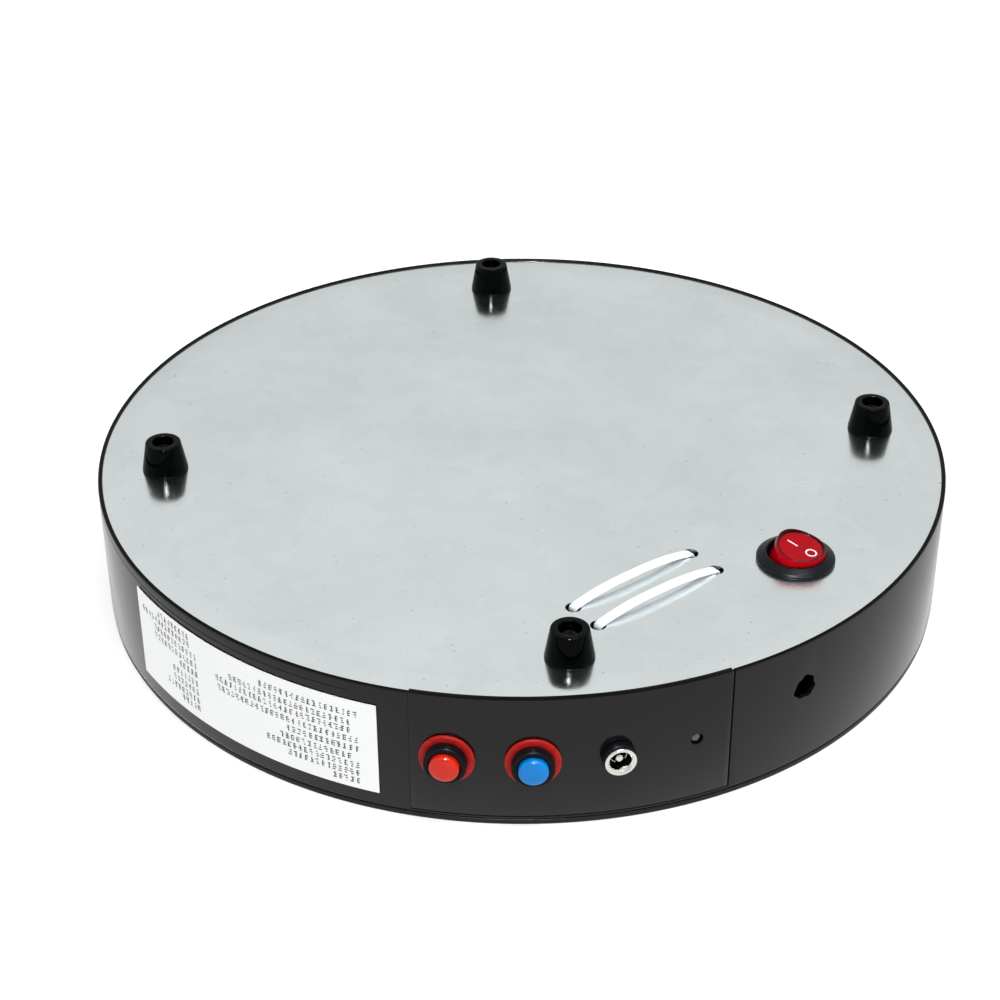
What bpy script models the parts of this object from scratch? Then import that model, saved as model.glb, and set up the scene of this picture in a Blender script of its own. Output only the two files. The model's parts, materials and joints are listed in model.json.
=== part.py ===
"""Motorised display turntable (banding wheel), upright on its four feet.

Frame: metres, +Z up, feet tips on z = 0, origin under the centre of the whole outline.
The control panel faces -Y.  Everything is modelled about the platter axis, in mm, with
angles in degrees from +X, and moved to the origin by AXIS_Y at the end.
"""
import bpy
import bmesh
from math import pi, cos, sin, radians
from mathutils import Matrix, Vector

MM = 0.001
AXIS_Y = 2.81            # platter axis behind the outline's centre: the buttons stand out in front

# ---- driving dimensions (mm, degrees) -------------------------------------
R_SKIRT = 125.0          # drum outside radius
R_SKIRT_IN = 123.3       # drum inside radius
Z_RIM = 8.7              # open edge of the skirt
Z_SKIRT_TOP = 47.4       # closed edge of the skirt
DECK_Z = (41.6, 43.6)    # deck under the platter
R_RING = 120.0           # inside of the solid top ring of the drum
BUSH_HOLE_R = 7.3
SEG = 72

PANEL_A = (250.42, 289.38)   # control panel, from and to
PANEL_R = (123.2, 125.0)
PANEL_Z = (8.7, 46.4)
PANEL_GAP_A = 0.22
SIDE_HOLE = (239.5, 23.2, 3.6)   # angle, z, radius

PLATE_R = 123.0
PLATE_Z = (9.6, 10.6)
FEET = {'right': (105.4, -1.1), 'back': (-1.2, 104.6), 'left': (-106.0, -0.7), 'front': (-1.1, -105.8)}
FOOT_Z = 0.6                 # tips of the feet, before the model is set down on them
FOOT_H = 8.7
FOOT_TIP_R, FOOT_BASE_R = 5.2, 6.5
FOOT_BORE = (3.1, 4.2)       # recess radius, depth
SCREW_HOLE_R = 1.9

SWITCH_C = (-68.5, -68.1)
SWITCH_DIR = 220.0           # direction of the pressed end
SWITCH_FACE_Z = 7.15
SWITCH_PIVOT = 4.65          # below the bezel face
SWITCH_HOLE_R = 10.0
ROCKER_TILT = 11.0

TIE_C = (-25.3, -77.7)       # centre of the four tie holes
TIE_A = 148.0                # direction of the strands
TIE_HALF = 20.9              # half the distance between a tie's holes
TIE_GAP = 10.3               # distance between the two ties
TIE_W, TIE_T = 3.0, 1.1
TIE_HOLE_R = 2.2

BATT_SHIFT = 12.0            # pack centre from the ties' centre
BATT_L, BATT_W, BATT_H = 70.0, 37.0, 18.4
BATT_Z = 10.9

RED_A, BLUE_A, BUTTON_Z = 284.9, 274.8, 28.0
WASHER_SAG = 0.6             # the loose washers sit low on their buttons
BUTTON_HOLE_R = 4.9
JACK_A, JACK_Z, JACK_HOLE_R = 264.75, 27.9, 4.25
LED_A, LED_Z, LED_HOLE_R = 254.9, 27.7, 1.75
LABEL_A, LABEL_Z, LABEL_R = (293.3, 333.1), (13.6, 43.1), (125.3, 125.5)

PLATTER_R, PLATTER_Z = 124.8, (47.8, 49.5)
PLATTER_CORE_R, PLATTER_CORE_Z = 119.3, 46.2
HUB_R, HUB_Z = 14.0, 45.2
SPINDLE_R = 4.0
GEAR_M, GEAR_T, PINION_T = 1.5, 40, 10
GEAR_Z = (34.3, 39.3)
MOTOR_Y = GEAR_M * (GEAR_T + PINION_T) / 2

ROLLER_RAD, ROLLER_R, ROLLER_W = 95.0, 5.0, 5.0
ROLLER_Z = 40.9
ROLLER_A = (45.0, 135.0, 225.0, 315.0)
AXLE_R = 1.0

# ---- materials: colour, roughness, metallic --------------------------------
MATS = {
    'black_gloss': ((0.018, 0.018, 0.019), 0.22, 0.0),
    'black_rubber': ((0.012, 0.012, 0.013), 0.32, 0.0),
    'galvanised': ((0.60, 0.63, 0.63), 0.34, 1.0),
    'steel': ((0.55, 0.56, 0.57), 0.30, 1.0),
    'chrome': ((0.80, 0.81, 0.82), 0.12, 1.0),
    'brass': ((0.72, 0.52, 0.22), 0.30, 1.0),
    'red_clear': ((0.62, 0.01, 0.015), 0.15, 0.0),
    'red_plastic': ((0.74, 0.045, 0.02), 0.30, 0.0),
    'blue_plastic': ((0.01, 0.20, 0.60), 0.30, 0.0),
    'red_washer': ((0.62, 0.06, 0.04), 0.45, 0.0),
    'white_nylon': ((0.86, 0.87, 0.88), 0.40, 0.0),
    'paper': ((0.80, 0.80, 0.78), 0.60, 0.0),
    'blue_wrap': ((0.03, 0.11, 0.42), 0.35, 0.0),
    'board_green': ((0.02, 0.16, 0.06), 0.45, 0.0),
    'white_gear': ((0.80, 0.79, 0.74), 0.45, 0.0),
    'grey_tyre': ((0.10, 0.10, 0.10), 0.60, 0.0),
    'lens': ((0.45, 0.44, 0.40), 0.15, 0.0),
    'red_wire': ((0.60, 0.02, 0.02), 0.40, 0.0),
    'black_wire': ((0.015, 0.015, 0.015), 0.40, 0.0),
    'platter_black': ((0.020, 0.020, 0.021), 0.35, 0.0),
}


def clear_scene():
    for ob in list(bpy.data.objects):
        bpy.data.objects.remove(ob, do_unlink=True)


def material(name):
    m = bpy.data.materials.get(name)
    if m is None:
        col, rough, metal = MATS[name]
        m = bpy.data.materials.new(name)
        m.use_nodes = True
        b = m.node_tree.nodes['Principled BSDF']
        b.inputs['Base Color'].default_value = (*col, 1.0)
        b.inputs['Roughness'].default_value = rough
        b.inputs['Metallic'].default_value = metal
    return m


def add(name, bm, mat=None, loc=(0, 0, 0), rot=(0, 0, 0), parent=None, smooth=True):
    """Object from a bmesh in mm; loc in mm, rot in degrees."""
    bmesh.ops.scale(bm, vec=(MM, MM, MM), verts=bm.verts)
    bmesh.ops.recalc_face_normals(bm, faces=bm.faces)
    me = bpy.data.meshes.new(name)
    bm.to_mesh(me)
    bm.free()
    if smooth:
        me.shade_smooth()
        me.set_sharp_from_angle(angle=radians(35))
    ob = bpy.data.objects.new(name, me)
    bpy.context.collection.objects.link(ob)
    if mat:
        me.materials.append(material(mat))
    ob.location = Vector(loc) * MM
    ob.rotation_euler = [radians(a) for a in rot]
    if parent:
        ob.parent = parent
    return ob


def empty(name, loc, rot=(0, 0, 0)):
    e = bpy.data.objects.new(name, None)
    e.location = Vector(loc) * MM
    e.rotation_euler = [radians(a) for a in rot]
    bpy.context.collection.objects.link(e)
    return e


def cutter(name, bm, **kw):
    ob = add(name, bm, smooth=False, **kw)
    ob.hide_render = True
    ob.display_type = 'WIRE'
    return ob


def boolean(ob, other, op='DIFFERENCE'):
    m = ob.modifiers.new(op.lower(), 'BOOLEAN')
    m.object = other
    m.operation = op
    m.solver = 'EXACT'
    return m


def lathe(profile, segs, closed=True, bm=None):
    """Turned solid about local Z from (r, z) points; r = 0 points lie on the axis."""
    bm = bm or bmesh.new()
    vs = [bm.verts.new((r, 0.0, z)) for r, z in profile]
    n = len(vs)
    es = [bm.edges.new((vs[i], vs[i + 1])) for i in range(n - 1)]
    if closed and not (profile[0][0] == 0 and profile[-1][0] == 0):
        es.append(bm.edges.new((vs[-1], vs[0])))
    bmesh.ops.spin(bm, geom=vs + es, cent=(0, 0, 0), axis=(0, 0, 1), angle=2 * pi,
                   steps=segs, use_merge=True)
    bmesh.ops.remove_doubles(bm, verts=bm.verts, dist=1e-4)
    return bm


def prism(outline, z0, z1, bm=None):
    """Solid of a closed (x, y) outline between two heights."""
    bm = bm or bmesh.new()
    f = bm.faces.new([bm.verts.new((x, y, z0)) for x, y in outline])
    ex = bmesh.ops.extrude_face_region(bm, geom=[f])
    bmesh.ops.translate(bm, vec=(0, 0, z1 - z0),
                        verts=[g for g in ex['geom'] if isinstance(g, bmesh.types.BMVert)])
    return bm


def ring_prism(outer, inner, z0, z1):
    """Solid between two closed outlines with equal point counts."""
    bm = bmesh.new()
    n = len(outer)
    rings = [[bm.verts.new((x, y, z)) for x, y in loop] for loop, z in
             ((outer, z0), (outer, z1), (inner, z1), (inner, z0))]
    for k in range(4):
        a, b = rings[k], rings[(k + 1) % 4]
        for i in range(n):
            j = (i + 1) % n
            bm.faces.new((a[i], a[j], b[j], b[i]))
    return bm


def box(lo, hi, bm=None):
    return prism([(lo[0], lo[1]), (hi[0], lo[1]), (hi[0], hi[1]), (lo[0], hi[1])],
                 lo[2], hi[2], bm)


def circle(r, n, cx=0.0, cy=0.0, a0=0.0):
    return [(cx + r * cos(a0 + 2 * pi * i / n), cy + r * sin(a0 + 2 * pi * i / n)) for i in range(n)]


def disc(r, z0, z1, n, cx=0.0, cy=0.0, bm=None, a0=0.0):
    return prism(circle(r, n, cx, cy, a0), z0, z1, bm)


def sector(r0, r1, a0, a1, z0, z1, step=2.0):
    n = max(2, int(round((a1 - a0) / step)))
    an = [radians(a0 + (a1 - a0) * i / n) for i in range(n + 1)]
    out = [(r1 * cos(a), r1 * sin(a)) for a in an] + [(r0 * cos(a), r0 * sin(a)) for a in reversed(an)]
    return prism(out, z0, z1)


def polar(r, a):
    return r * cos(radians(a)), r * sin(radians(a))


def radial(a, z, r=R_SKIRT):
    """Placement of a piece whose local +Z points out of the wall at angle a."""
    x, y = polar(r, a)
    return {'loc': (x, y, z), 'rot': (90, 0, a + 90)}


def radial_cutter(name, a, z, rad, r0, r1, n=20):
    bm = disc(rad, r0 - R_SKIRT, r1 - R_SKIRT, n)
    return cutter(name, bm, **radial(a, z))


# ---- drum ------------------------------------------------------------------
def make_housing():
    d0, d1 = DECK_Z
    ri, ro = R_SKIRT_IN, R_SKIRT
    e = 0.35
    body = add('housing', lathe([
        (BUSH_HOLE_R, d0), (ri, d0), (ri, Z_RIM), (ro - e, Z_RIM), (ro, Z_RIM + e),
        (ro, Z_SKIRT_TOP - e), (ro - e, Z_SKIRT_TOP), (R_RING, Z_SKIRT_TOP),
        (R_RING, d1), (BUSH_HOLE_R, d1)], SEG), 'black_gloss')
    posts = bmesh.new()
    for x, y in FEET.values():
        disc(4.5, PLATE_Z[1] + 0.3, d0 + 0.4, 16, x, y, posts)
    for x, y in BOARD_POSTS:
        disc(2.6, BOARD_Z[1] + 0.3, d0 + 0.4, 12, x, y, posts)
    for a in ROLLER_A:
        for s in (-1, 1):
            roller_block(posts, a, s)
    boolean(body, cutter('housing_posts', posts), 'UNION')
    cuts = bmesh.new()
    for x, y in FEET.values():
        disc(SCREW_HOLE_R, 5.0, 30.0, 12, x, y, cuts)
    for sx in (-1, 1):
        disc(1.8, 41.0, 44.5, 12, sx * BRACKET_SCREW_X, MOTOR_Y, cuts)
    for a in ROLLER_A:
        roller_cut(cuts, a)
    boolean(body, cutter('housing_holes', cuts))
    axle = bmesh.new()
    for a in ROLLER_A:
        axle_bore(axle, a)
    boolean(body, cutter('housing_axle_bores', axle))
    win = sector(122.4, 128.0, PANEL_A[0] - PANEL_GAP_A, PANEL_A[1] + PANEL_GAP_A, 4.0, PANEL_Z[1] + 0.35)
    boolean(body, cutter('housing_window', win))
    boolean(body, radial_cutter('housing_side_hole', SIDE_HOLE[0], SIDE_HOLE[1], SIDE_HOLE[2], 118, 130))
    return body


def oriented_box(bm, a, rad, tang, z):
    """Box spanning rad (from, to), tang (from, to), z (from, to) at angle a."""
    c, s = cos(radians(a)), sin(radians(a))
    pts = [(r * c - t * s, r * s + t * c) for r, t in
           ((rad[0], tang[0]), (rad[1], tang[0]), (rad[1], tang[1]), (rad[0], tang[1]))]
    return prism(pts, z[0], z[1], bm)


def roller_block(bm, a, s):
    near = ROLLER_RAD + s * (ROLLER_W / 2 + 0.8)
    far = near + s * 3.2
    oriented_box(bm, a, sorted((near, far)), (-2.8, 2.8), (ROLLER_Z - 2.6, DECK_Z[0] + 0.4))


def roller_cut(bm, a):
    h = ROLLER_W / 2 + 0.8
    oriented_box(bm, a, (ROLLER_RAD - h, ROLLER_RAD + h), (-5.7, 5.7), (DECK_Z[0] - 0.6, DECK_Z[1] + 0.6))


def axle_bore(bm, a):
    c = disc(AXLE_R + 0.07, -7.5, 7.5, 16)
    x, y = polar(ROLLER_RAD, a)
    turn = Matrix.Rotation(radians(a), 4, 'Z') @ Matrix.Rotation(pi / 2, 4, 'Y')
    me = bpy.data.meshes.new('tmp')
    c.transform(Matrix.Translation((x, y, ROLLER_Z)) @ turn)
    c.to_mesh(me)
    c.free()
    bm.from_mesh(me)
    bpy.data.meshes.remove(me)


def make_panel():
    p = add('control_panel', sector(PANEL_R[0], PANEL_R[1], PANEL_A[0], PANEL_A[1], PANEL_Z[0], PANEL_Z[1]),
            'black_gloss')
    for nm, a, z, r in (('red', RED_A, BUTTON_Z, BUTTON_HOLE_R), ('blue', BLUE_A, BUTTON_Z, BUTTON_HOLE_R),
                        ('jack', JACK_A, JACK_Z, JACK_HOLE_R), ('led', LED_A, LED_Z, LED_HOLE_R)):
        boolean(p, radial_cutter('panel_hole_' + nm, a, z, r, 118, 130, 24 if r > 2 else 14))
    return p


def make_plate():
    p = add('base_plate', disc(PLATE_R, PLATE_Z[0], PLATE_Z[1], SEG), 'galvanised')
    bm = bmesh.new()
    z0, z1 = PLATE_Z[0] - 2, PLATE_Z[1] + 2
    for x, y in FEET.values():
        disc(SCREW_HOLE_R, z0, z1, 12, x, y, bm)
    for sx in (-1, 1):
        for sy in (-1, 1):
            x, y = tie_point(sx * TIE_HALF, sy * TIE_GAP / 2)
            disc(TIE_HOLE_R, z0, z1, 14, x, y, bm)
    disc(SWITCH_HOLE_R, z0, z1, 32, SWITCH_C[0], SWITCH_C[1], bm)
    boolean(p, cutter('plate_holes', bm))
    return p


def tie_point(s, t):
    """Plan position at s along the strands and t along the battery."""
    c, k = cos(radians(TIE_A)), sin(radians(TIE_A))
    return TIE_C[0] + s * c + t * k, TIE_C[1] + s * k - t * c


def make_label():
    return add('label', sector(*LABEL_R, *LABEL_A, *LABEL_Z), 'paper')


# ---- feet ------------------------------------------------------------------
def make_feet():
    br, bd = FOOT_BORE
    prof = [(br, 0.0), (FOOT_TIP_R - 0.5, 0.0), (FOOT_TIP_R, 0.5), (FOOT_BASE_R, FOOT_H - 0.5),
            (FOOT_BASE_R - 0.3, FOOT_H), (1.85, FOOT_H), (1.85, bd), (br, bd)]
    screw = [(0.0, 1.9), (2.2, 1.9), (2.75, 2.5), (2.75, 3.9), (1.5, 3.9), (1.5, 23.2),
             (0.6, 24.4), (0.0, 24.4)]
    for nm, (x, y) in FEET.items():
        add('foot_' + nm, lathe(prof, 18), 'black_rubber', (x, y, FOOT_Z))
        add('foot_screw_' + nm, lathe(screw, 10), 'steel', (x, y, FOOT_Z))


# ---- cable ties and battery ------------------------------------------------
def offset_loop(pts, d):
    n = len(pts)
    out = []
    for i in range(n):
        (x0, y0), (x1, y1), (x2, y2) = pts[i - 1], pts[i], pts[(i + 1) % n]
        a = Vector((x1 - x0, y1 - y0)).normalized()
        b = Vector((x2 - x1, y2 - y1)).normalized()
        t = (a + b).normalized()
        k = d / max(0.5, t.dot(a))
        out.append((x1 + t.y * k, y1 - t.x * k))
    return out


def tie_path():
    """Centre line in (s, z): under the plate, up through it and over the pack."""
    h, bow, zp = TIE_HALF, 2.55, PLATE_Z[0]
    low = [(h * t, zp - bow * (1 - abs(t) ** 2.6) - 0.1) for t in
           (-0.93, -0.82, -0.66, -0.48, -0.25, 0.0, 0.25, 0.48, 0.66, 0.82, 0.93)]
    right = [(h, zp + 0.2), (h, zp + 1.9), (19.95, 16.0), (19.95, 28.2), (19.4, 29.6), (18.0, 30.3)]
    top = [(12.0, 30.3), (11.6, 30.3), (6.4, 30.3), (6.0, 30.3)]
    left = [(-x, z) for x, z in reversed(right)]
    return low + right + top + left


def make_ties():
    path = tie_path()
    outer = offset_loop(path, TIE_T / 2)
    inner = offset_loop(path, -TIE_T / 2)
    outer = [(x, z + 2.9) if (abs(x - 9.0) < 2.75 and z > 28) else (x, z) for x, z in outer]
    for k, s in ((1, 1), (2, -1)):
        x, y = tie_point(0, s * TIE_GAP / 2)
        bm = ring_prism(outer, inner, -TIE_W / 2, TIE_W / 2)
        add('cable_tie_%d' % k, bm, 'white_nylon', (x, y, 0), (90, 0, TIE_A))


def make_battery():
    r, w = BATT_H / 2, BATT_W / 2 - BATT_H / 2
    n = 10
    out = [(w + r * cos(t), r * sin(t)) for t in [-pi / 2 + pi * i / n for i in range(n + 1)]]
    out += [(-w + r * cos(t), r * sin(t)) for t in [pi / 2 + pi * i / n for i in range(n + 1)]]
    x, y = tie_point(0, BATT_SHIFT)
    pack = prism(out, -BATT_L / 2, BATT_L / 2)
    return add('battery_pack', pack, 'blue_wrap', (x, y, BATT_Z + r), (90, 0, TIE_A))


# ---- rocker switch ---------------------------------------------------------
def make_switch():
    x, y = SWITCH_C
    rot = (180, 0, SWITCH_DIR)
    face = (x, y, SWITCH_FACE_Z)
    body = add('switch_body', lathe([
        (0.0, -17.85), (9.2, -17.85), (9.7, -17.25), (9.7, -2.15), (10.85, -2.15), (10.85, -1.4),
        (10.5, -1.05), (8.5, 0.0), (8.05, 0.0), (8.05, -12.25), (0.0, -12.25)], 32), 'black_gloss', face, rot)
    bore = bmesh.new()
    prism(circle(1.07, 12), -9.1, 9.1, bore)
    bmesh.ops.rotate(bore, verts=bore.verts, cent=(0, 0, 0), matrix=Matrix.Rotation(pi / 2, 3, 'X'))
    bmesh.ops.translate(bore, verts=bore.verts, vec=(0, 0, -SWITCH_PIVOT))
    boolean(body, cutter('switch_trunnion_bore', bore, loc=face, rot=rot))
    for k, s in ((1, -1), (2, 1)):
        add('switch_terminal_%d' % k, box((s * 4.5 - 0.4, -2.4, -24.65), (s * 4.5 + 0.4, 2.4, -18.15)),
            'brass', face, rot)
    pivot = empty('rocker_axis', (x, y, SWITCH_FACE_Z + SWITCH_PIVOT), rot)
    make_rocker(pivot)


def make_rocker(pivot):
    """Neutral shape about the pivot, clear of the bore at both tilts, then set to the off position."""
    top_c, top_e, low, half = 7.0, 8.2, -2.6, 7.75
    prof = [(-half, low), (half, low), (half, top_e), (0.0, top_c), (-half, top_e)]
    bm = prism(prof, -8.5, 8.5)
    bmesh.ops.rotate(bm, verts=bm.verts, cent=(0, 0, 0), matrix=Matrix.Rotation(pi / 2, 3, 'X'))
    rk = add('rocker', bm, 'red_clear', (0, 0, 0), (0, ROCKER_TILT, 0), pivot)
    cone = lathe([(0.0, -3.0), (7.75, -3.0), (7.75, 3.8), (6.8, 8.4), (0.0, 8.4)], 32)
    boolean(rk, cutter('rocker_taper', cone, rot=(0, ROCKER_TILT, 0), parent=pivot), 'INTERSECT')
    for k, t in ((1, ROCKER_TILT), (2, -ROCKER_TILT)):
        limit = lathe([(0.0, -9.0), (7.75, -9.0), (7.75, 5.0), (8.5, 5.4), (8.5, 12.0), (0.0, 12.0)], 32)
        boolean(rk, cutter('rocker_limit_%d' % k, limit, rot=(0, ROCKER_TILT + t, 0), parent=pivot), 'INTERSECT')
    pin = prism(circle(1.0, 12), -8.8, 8.8)
    bmesh.ops.rotate(pin, verts=pin.verts, cent=(0, 0, 0), matrix=Matrix.Rotation(pi / 2, 3, 'X'))
    boolean(rk, cutter('rocker_trunnions', pin, rot=(0, ROCKER_TILT, 0), parent=pivot), 'UNION')
    return rk


# ---- push buttons ----------------------------------------------------------
def dome(r, z_edge, z_top, n=3):
    """Points from the edge of a crowned face to its centre."""
    rise = z_top - z_edge
    arc = [(r * cos(pi / 2 * i / n), z_edge + rise * sin(pi / 2 * i / n)) for i in range(n)]
    return arc + [(0.0, z_top)]


def hexagon(af):
    r = af / 2 / cos(pi / 6)
    return circle(r, 6)


def make_button(name, a, mat):
    place = radial(a, BUTTON_Z)
    washer = [(5.2, 0.3), (7.3, 0.3), (7.3, 1.1), (5.2, 1.1)]
    add(name + '_button_washer', lathe(washer, 24), 'red_washer', **radial(a, BUTTON_Z - WASHER_SAG))
    add(name + '_button_body', lathe([
        (0.0, -11.2), (4.5, -11.2), (4.5, 1.4), (5.65, 1.4), (5.65, 3.5), (5.35, 3.9), (4.2, 3.9),
        (4.2, -9.6), (0.0, -9.6)], 20), 'black_gloss', **place)
    nut = prism(hexagon(12.0), -5.2, -2.9)
    nb = add(name + '_button_nut', nut, 'black_gloss', smooth=False, **place)
    boolean(nb, cutter(name + '_nut_bore', disc(4.75, -8, 0, 20), **place))
    cap = [(0.0, -3.2), (1.5, -3.2), (1.5, -1.4), (3.95, -1.4)] + dome(3.95, 4.9, 6.05)
    add(name + '_button_cap', lathe(cap, 20), mat, **place)
    make_spring(name + '_button_spring', place)


def make_spring(name, place):
    cu = bpy.data.curves.new(name, 'CURVE')
    cu.dimensions = '3D'
    cu.bevel_depth = 0.28 * MM
    cu.bevel_resolution = 0
    cu.use_fill_caps = True
    sp = cu.splines.new('POLY')
    turns, per, r, z0, z1 = 4, 8, 2.5, -9.0, -2.0
    n = turns * per + 1
    sp.points.add(n - 1)
    for i in range(n):
        t = 2 * pi * i / per
        sp.points[i].co = (r * cos(t) * MM, r * sin(t) * MM, (z0 + (z1 - z0) * i / (n - 1)) * MM, 1)
    ob = bpy.data.objects.new(name, cu)
    cu.materials.append(material('steel'))
    bpy.context.collection.objects.link(ob)
    ob.location = Vector(place['loc']) * MM
    ob.rotation_euler = [radians(v) for v in place['rot']]
    return ob


# ---- power jack and lamp ---------------------------------------------------
def make_jack():
    place = radial(JACK_A, JACK_Z)
    add('jack_barrel', lathe([
        (0.0, -9.4), (3.95, -9.4), (3.95, 0.35), (4.55, 0.35), (4.55, 2.2), (4.3, 2.5), (3.8, 2.5),
        (3.8, -8.0), (0.0, -8.0)], 20), 'black_gloss', **place)
    add('jack_sleeve', lathe([
        (2.8, -5.0), (3.5, -5.0), (3.5, 2.8), (4.2, 2.8), (4.2, 3.2), (4.0, 3.4), (3.2, 3.4),
        (2.8, 2.9)], 20), 'chrome', **place)
    add('jack_pin', lathe([
        (0.0, -7.7), (3.4, -7.7), (3.4, -6.3), (1.0, -6.3), (1.0, 1.3), (0.7, 1.8), (0.0, 1.8)], 16),
        'chrome', **place)
    nut = add('jack_nut', prism(hexagon(11.0), -5.0, -2.9), 'steel', smooth=False, **place)
    boolean(nut, cutter('jack_nut_bore', disc(4.25, -8, 0, 20), **place))


def make_led():
    prof = [(0.0, -6.0), (1.9, -6.0), (1.9, -5.0), (1.45, -5.0)] + dome(1.45, -1.6, -0.7)
    add('charge_led', lathe(prof, 14), 'lens', **radial(LED_A, LED_Z))


# ---- electronics -----------------------------------------------------------
BOARD_C, BOARD_S, BOARD_Z = (42.0, -72.0), (40.0, 26.0), (33.0, 34.6)
BOARD_POSTS = ((27.0, -81.0), (57.0, -63.0))


def make_board():
    (x, y), (w, h) = BOARD_C, BOARD_S
    z0, z1 = BOARD_Z
    board = box((x - w / 2, y - h / 2, z0), (x + w / 2, y + h / 2, z1))
    b = add('circuit_board', board, 'board_green', smooth=False)
    chips = bmesh.new()
    box((x - 4, y - 5, z0 - 1.8), (x + 6, y + 3, z0 + 0.3), chips)
    box((x + 10, y - 11, z0 - 3.2), (x + 16, y - 5, z0 + 0.3), chips)
    box((x - 17, y + 4, z0 - 4.0), (x - 9, y + 9, z0 + 0.3), chips)
    boolean(b, cutter('board_parts', chips), 'UNION')


def wire(name, pts, mat, r=0.75):
    """Insulated lead along a smooth line through the given points (mm)."""
    p = [Vector(q) for q in pts]
    p = [p[0] * 2 - p[1]] + p + [p[-1] * 2 - p[-2]]
    line = []
    for i in range(1, len(p) - 2):
        for k in range(3):
            t = k / 3
            a, b, c, d = p[i - 1], p[i], p[i + 1], p[i + 2]
            line.append(0.5 * (2 * b + (c - a) * t + (2 * a - 5 * b + 4 * c - d) * t * t
                               + (3 * b - a - 3 * c + d) * t ** 3))
    line.append(p[-2])
    cu = bpy.data.curves.new(name, 'CURVE')
    cu.dimensions = '3D'
    cu.bevel_depth = r * MM
    cu.bevel_resolution = 1
    cu.use_fill_caps = True
    sp = cu.splines.new('POLY')
    sp.points.add(len(line) - 1)
    for q, v in zip(sp.points, line):
        q.co = (v.x * MM, v.y * MM, v.z * MM, 1)
    cu.materials.append(material(mat))
    ob = bpy.data.objects.new(name, cu)
    bpy.context.collection.objects.link(ob)
    return ob


def make_wires():
    wire('battery_lead_red', [
        (3.6, -35.9, 22.0), (9.0, -33.5, 22.5), (19.0, -37.5, 24.0), (28.0, -50.0, 27.0),
        (31.0, -60.0, 30.0), (31.5, -62.5, 32.0)], 'red_wire')
    wire('battery_lead_black', [
        (-2.2, -31.8, 22.0), (4.0, -27.5, 22.5), (22.0, -32.0, 24.0), (33.0, -48.0, 27.0),
        (35.2, -60.0, 30.0), (35.5, -62.5, 32.0)], 'black_wire')
    wire('switch_lead_1', [
        (-71.9, -71.3, 32.9), (-75.0, -66.0, 35.2), (-67.0, -54.0, 36.0), (-54.0, -48.0, 36.2),
        (-20.0, -51.0, 36.4), (14.0, -62.0, 36.6), (27.0, -65.5, 36.2), (29.5, -66.0, 35.6)], 'red_wire')
    wire('switch_lead_2', [
        (-65.0, -65.4, 32.9), (-60.0, -61.5, 35.0), (-50.0, -55.5, 35.8), (-20.0, -57.5, 36.0),
        (12.0, -68.0, 36.2), (26.0, -71.5, 36.0), (29.5, -72.0, 35.6)], 'black_wire')


# ---- drive -----------------------------------------------------------------
def gear_outline(m, teeth, phase=0.0):
    rp = m * teeth / 2
    ra, rf = rp + 0.9 * m, rp - 1.15 * m
    pitch = 2 * pi / teeth
    root, tip = 0.31, 0.105
    pts = []
    for i in range(teeth):
        c = phase + i * pitch
        pts += [(rf, c - root * pitch), (ra, c - tip * pitch), (ra, c + tip * pitch), (rf, c + root * pitch)]
    return [(r * cos(a), r * sin(a)) for r, a in pts]


BRACKET_SCREW_X = 28.5


def make_drive():
    z0, z1 = GEAR_Z
    add('motor', lathe([(0.0, 11.2), (11.4, 11.2), (12.0, 11.8), (12.0, 29.8), (11.4, 30.4), (3.2, 30.4),
                        (3.2, 31.6), (0.0, 31.6)], 20), 'steel', (0, MOTOR_Y, 0))
    hat = [(-23.0, 30.7), (23.0, 30.7), (23.0, 39.8), (33.0, 39.8), (33.0, 41.3), (21.5, 41.3), (21.5, 32.2),
           (-21.5, 32.2), (-21.5, 41.3), (-33.0, 41.3), (-33.0, 39.8), (-23.0, 39.8)]
    br = add('motor_bracket', prism(hat, -9.5, 9.5), 'steel', (0, MOTOR_Y, 0), (90, 0, 0), smooth=False)
    holes = disc(3.5, 29.0, 34.0, 20, 0, MOTOR_Y)
    for sx in (-1, 1):
        disc(1.8, 39.0, 42.0, 12, sx * BRACKET_SCREW_X, MOTOR_Y, holes)
    boolean(br, cutter('bracket_holes', holes))
    screw = [(0.0, 37.7), (2.6, 37.7), (2.6, 39.5), (1.5, 39.5), (1.5, 43.4), (0.0, 43.4)]
    for k, sx in ((1, -1), (2, 1)):
        add('bracket_screw_%d' % k, lathe(screw, 12), 'steel', (sx * BRACKET_SCREW_X, MOTOR_Y, 0))
    pin = add('pinion', prism(gear_outline(GEAR_M, PINION_T, pi / PINION_T - pi / 2), z0, z1), 'white_gear',
              (0, MOTOR_Y, 0), smooth=False)
    boolean(pin, cutter('pinion_shaft', disc(1.5, 31.9, 41.0, 14), loc=(0, MOTOR_Y, 0)), 'UNION')
    gear = add('drive_gear', prism(gear_outline(GEAR_M, GEAR_T, pi / 2), z0, z1), 'white_gear', smooth=False)
    bore = disc(SPINDLE_R + 0.1, z0 - 2, z1 + 2, 32)
    for i in range(6):
        x, y = polar(17.5, 60 * i + 30)
        disc(5.5, z0 - 2, z1 + 2, 10, x, y, bore)
    boolean(gear, cutter('drive_gear_holes', bore))
    add('spindle_bush', lathe([(SPINDLE_R + 0.08, 39.7), (7.0, 39.7), (7.0, 43.9), (9.5, 43.9), (9.5, 44.9),
                               (SPINDLE_R + 0.08, 44.9)], 32), 'brass')
    r = SPINDLE_R
    add('spindle', lathe([(0.0, 32.2), (3.6, 32.2), (r, 32.6), (r, 46.9), (3.6, 47.3), (0.0, 47.3)], 32),
        'steel')
    add('spindle_clip', lathe([(r + 0.1, 33.1), (6.2, 33.1), (6.2, 34.0), (r + 0.1, 34.0)], 20), 'steel')


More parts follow.
